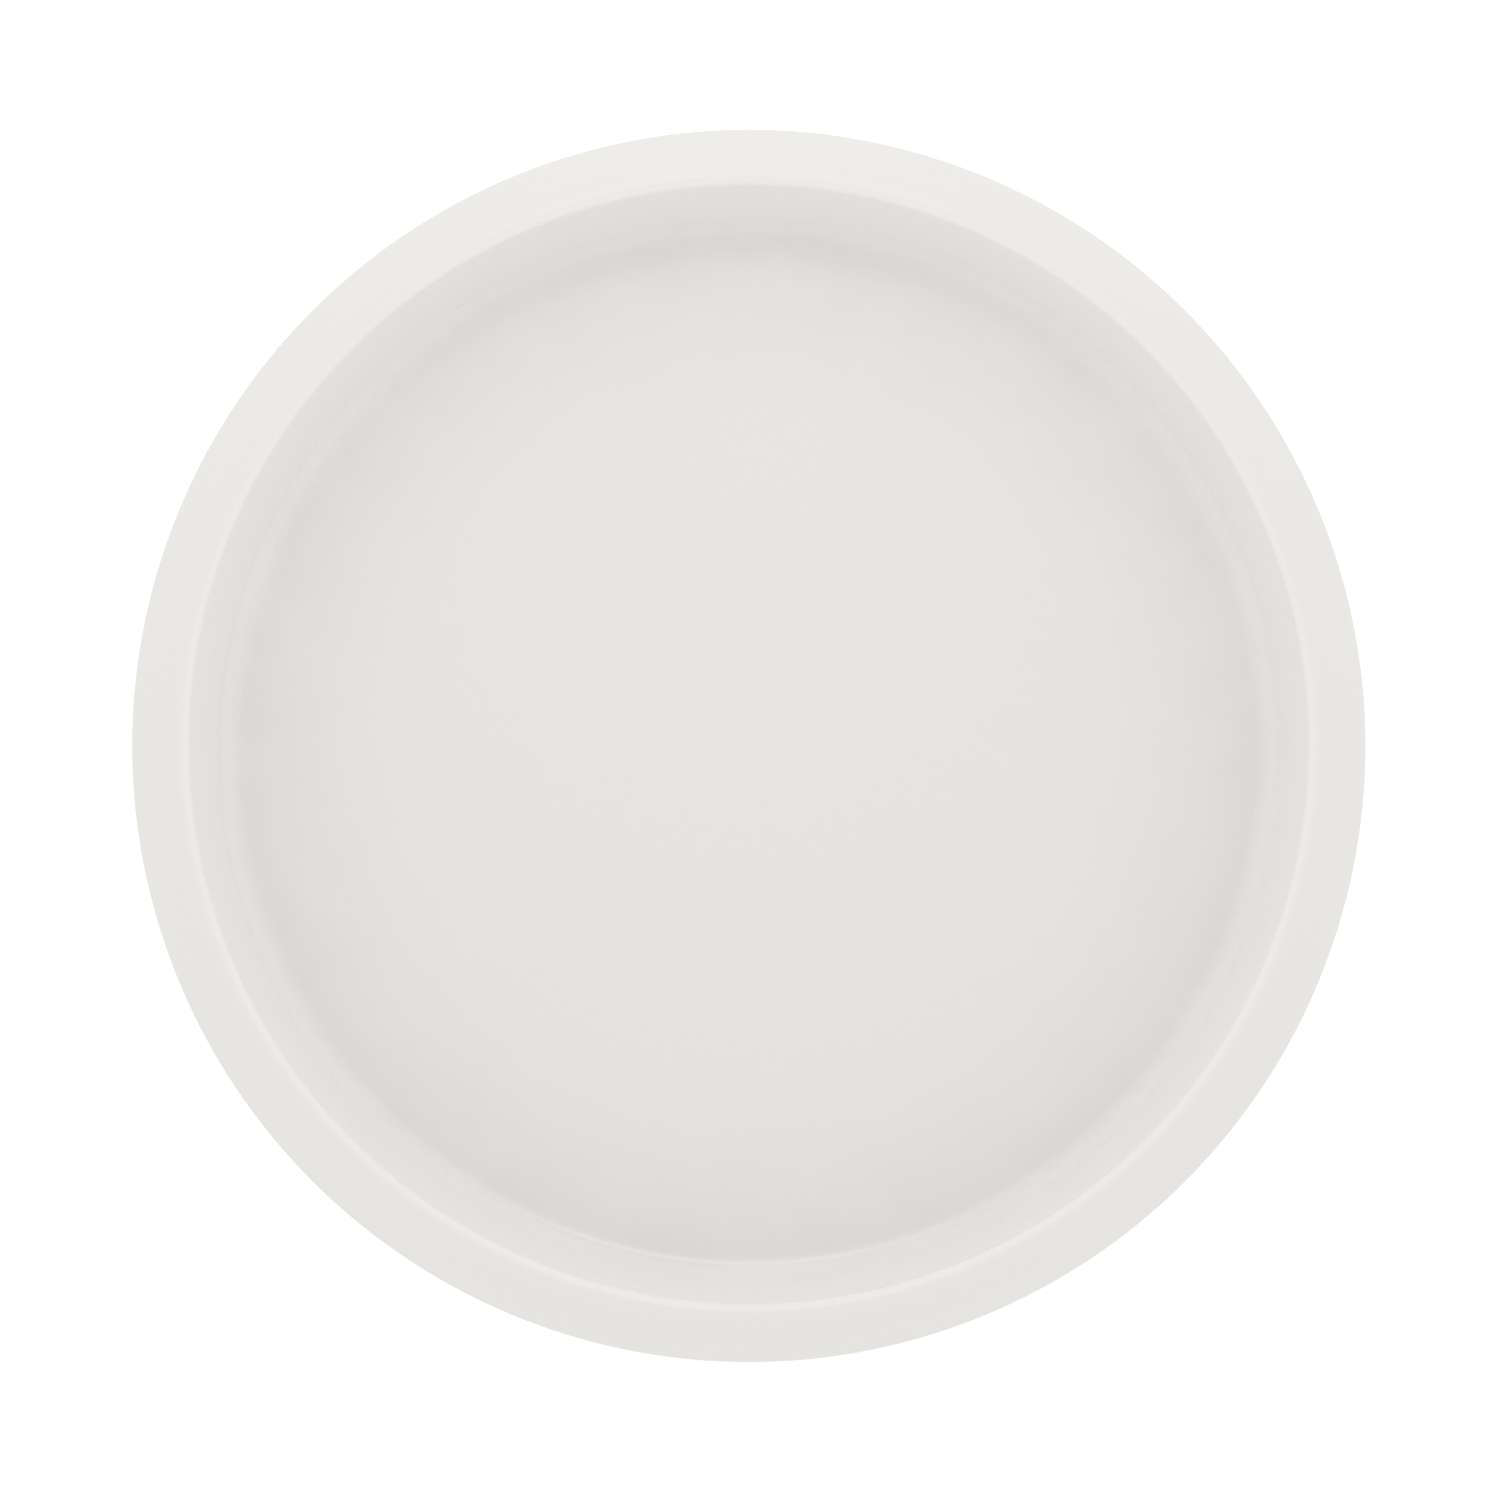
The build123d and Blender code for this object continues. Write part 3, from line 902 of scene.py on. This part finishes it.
# Painted shade on the floor near the wall's foot, standing in for the shade that the wall would throw.
PAINTED_SHADE_TINT = 0.825, 0.812, 0.786
PAINTED_SHADE_PATCH = 14.0
TRAY_GRAIN = 0.5
TRAY_GRAIN_DEPTH = 0.004
BAND_START = 128.4           # where the wall's polish and its lighter painted tint have run out on the crest
POLISH_FADE = 1.8
GRAIN_END = 0.3              # height above the floor at which the eroded grain has run out
SHADE_RAMP_IN = 7.3                # how far inside the wall's foot the floor's darker painted tint starts to give way to the wall's lighter one
SHADE_RAMP_OUT = 1.7               # how far outside the wall's foot that ramp has ended; the cove between gets painted shade
PAINTED_SHADE_WIDTH = 44.0            # how far from the wall's foot the painted shade on the floor reaches
MATT_ROUGHNESS = 0.2         # how much rougher the floor and the rim are than the polished wall


def tray_plastic():
    """Off-white plastic: a polished wall, a finely matt rim and a spark-eroded floor, with painted light
    and shade in their tints.
    """
    material, tree, shader, place = new_finish("tray_plastic", WALL_LIT_TINTS, PLASTIC_DRIFT, WALL_ROUGHNESS)
    shader.inputs["IOR"].default_value = PLASTIC_IOR
    parts = split(tree, place)
    across = distance_from_axis(tree, parts)
    # Painted light and shade: the wall is lighter than the rim and the floor, and the ramp from floor to
    # wall paints the cove darker than the wall.
    band = remap(tree, across, (BAND_START - POLISH_FADE) * MM, BAND_START * MM)
    wall = remap(tree, across, (FLOOR_CORNER - SHADE_RAMP_IN) * MM, (FLOOR_CORNER + SHADE_RAMP_OUT) * MM)
    shaded_floor_lit_wall = mix_colours(tree, wall, FLOOR_SHADED_TINT, fed_by(shader, "Base Color"))
    zones = mix_colours(tree, band, shaded_floor_lit_wall, BAND_SHADED_TINT)

    # Painted shade: in patches, the floor darkens towards the wall's foot, where the wall would throw
    # shade.
    corner = remap(tree, across, (FLOOR_CORNER - PAINTED_SHADE_WIDTH) * MM, (FLOOR_CORNER - COVE) * MM)
    on_floor = math_node(tree, "MULTIPLY", corner, inverse(tree, wall))
    on_top = remap(tree, parts["Z"], UNDERSIDE * MM, (FLOOR - SMALL) * MM)
    reached = math_node(tree, "MULTIPLY", on_floor, on_top)
    patchy = use_group(tree, DRIFT, place, Size_mm=PAINTED_SHADE_PATCH, Low=0.5, High=1.0)
    painted_shade = math_node(tree, "MULTIPLY", reached, patchy)
    tree.links.new(mix_colours(tree, painted_shade, zones, PAINTED_SHADE_TINT), shader.inputs["Base Color"])

    above_grain = remap(tree, parts["Z"], FLOOR * MM, (FLOOR + GRAIN_END) * MM)
    eroded = math_node(tree, "MULTIPLY", inverse(tree, above_grain), inverse(tree, band))
    added = math_node(tree, "MULTIPLY", math_node(tree, "MAXIMUM", eroded, band), MATT_ROUGHNESS)
    roughness = math_node(tree, "ADD", fed_by(shader, "Roughness"), added)
    tree.links.new(roughness, shader.inputs["Roughness"])
    add_bump(tree, shader, use_group(tree, GRAIN, place, Size_mm=TRAY_GRAIN), TRAY_GRAIN_DEPTH)
    return material


# %% [markdown]
# ## The other finishes
#
# The base, the cage and the bush are plain mouldings of one skin each, so they differ in
# tint, gloss and grain only. The washer and the screw are turned or pressed and then zinc
# plated: their metal shows faint rings about the axis, and the plating mottles within a
# few millimetres. The balls are polished almost to a mirror. Rubber is dark and dull, and
# it pales in small patches where it has rubbed on shelves.

# %% Other finishes
RUBBED_TINT = 0.16, 0.158, 0.15


def plastic(name, tints, roughness, grain_mm, depth_mm):
    """A moulding with one skin."""
    material, tree, shader, place = new_finish(name, tints, PLASTIC_DRIFT, roughness)
    shader.inputs["IOR"].default_value = PLASTIC_IOR
    add_bump(tree, shader, use_group(tree, GRAIN, place, Size_mm=grain_mm), depth_mm)
    return material


def steel(name, tints, drift_mm, roughness, relief, relief_mm, depth_mm):
    """Bare or plated steel, with a relief of turned rings or of fine grain."""
    material, tree, shader, place = new_finish(name, tints, drift_mm, roughness, metallic=1.0)
    add_bump(tree, shader, use_group(tree, relief, place, Size_mm=relief_mm), depth_mm)
    return material


def rubber_finish(name, tints, drift_mm, roughness, scuff_mm, scuff_amount, grain_mm, depth_mm):
    """Rubber that is paler where it has rubbed."""
    material, tree, shader, place = new_finish(name, tints, drift_mm, roughness)
    scuffs = use_group(tree, SCUFFS, place, Size_mm=scuff_mm, Amount=scuff_amount)
    rubbed = mix_colours(tree, scuffs, fed_by(shader, "Base Color"), RUBBED_TINT)
    tree.links.new(rubbed, shader.inputs["Base Color"])
    add_bump(tree, shader, use_group(tree, GRAIN, place, Size_mm=grain_mm), depth_mm)
    return material


finishes = {
    "tray_plastic": tray_plastic(),
    "base_plastic": plastic(
        "base_plastic", tints=((0.78, 0.765, 0.738), (0.765, 0.748, 0.720)),
        roughness=(0.42, 0.50), grain_mm=0.6, depth_mm=0.006),
    "cage_plastic": plastic(
        "cage_plastic", tints=((0.60, 0.60, 0.57), (0.56, 0.56, 0.53)),
        roughness=(0.40, 0.50), grain_mm=0.5, depth_mm=0.005),
    "bush_acetal": plastic(
        "bush_acetal", tints=((0.84, 0.84, 0.82), (0.81, 0.81, 0.79)),
        roughness=(0.20, 0.28), grain_mm=0.4, depth_mm=0.002),
    "zinc_steel": steel(
        "zinc_steel", tints=((0.62, 0.63, 0.64), (0.52, 0.54, 0.57)), drift_mm=2.5,
        roughness=(0.24, 0.38), relief=RINGS, relief_mm=0.25, depth_mm=0.004),
    "ball_steel": steel(
        "ball_steel", tints=((0.70, 0.70, 0.71), (0.66, 0.66, 0.68)), drift_mm=3.0,
        roughness=(0.05, 0.12), relief=GRAIN, relief_mm=0.4, depth_mm=0.0006),
    "foot_rubber": rubber_finish(
        "foot_rubber", tints=((0.075, 0.075, 0.072), (0.060, 0.060, 0.058)), drift_mm=6.0,
        roughness=(0.72, 0.88), scuff_mm=2.2, scuff_amount=0.35, grain_mm=0.35, depth_mm=0.02),
}
print("finishes", sorted(finishes))

# %% [markdown]
# ## Dressing the pieces
#
# A new piece gets one material slot. The cage, the bush and the balls are carried over
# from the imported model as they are: their shapes are right, and only the material in their
# slots changes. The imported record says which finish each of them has.

# %% Dress the pieces
def dress(piece, material):
    """Gives a piece one material throughout."""
    if not piece.data.materials:
        piece.data.materials.append(material)
    for slot in piece.material_slots:
        slot.material = material


dress(tray, finishes["tray_plastic"])
dress(base, finishes["base_plastic"])
dress(washer, finishes["zinc_steel"])
dress(screw, finishes["zinc_steel"])
for rubber in feet:
    dress(rubber, finishes["foot_rubber"])
slots = {part["node"]: part["material_slot"] for part in frame["record"]["subparts"]}
balls = [name for name in sorted(nodes) if name.startswith("bearing_ball")]
carried_over = ("ball_cage", "pivot_bush", *balls)
for name in carried_over:
    dress(nodes[name], finishes[slots[name]])
print("carried over and dressed", len(carried_over))
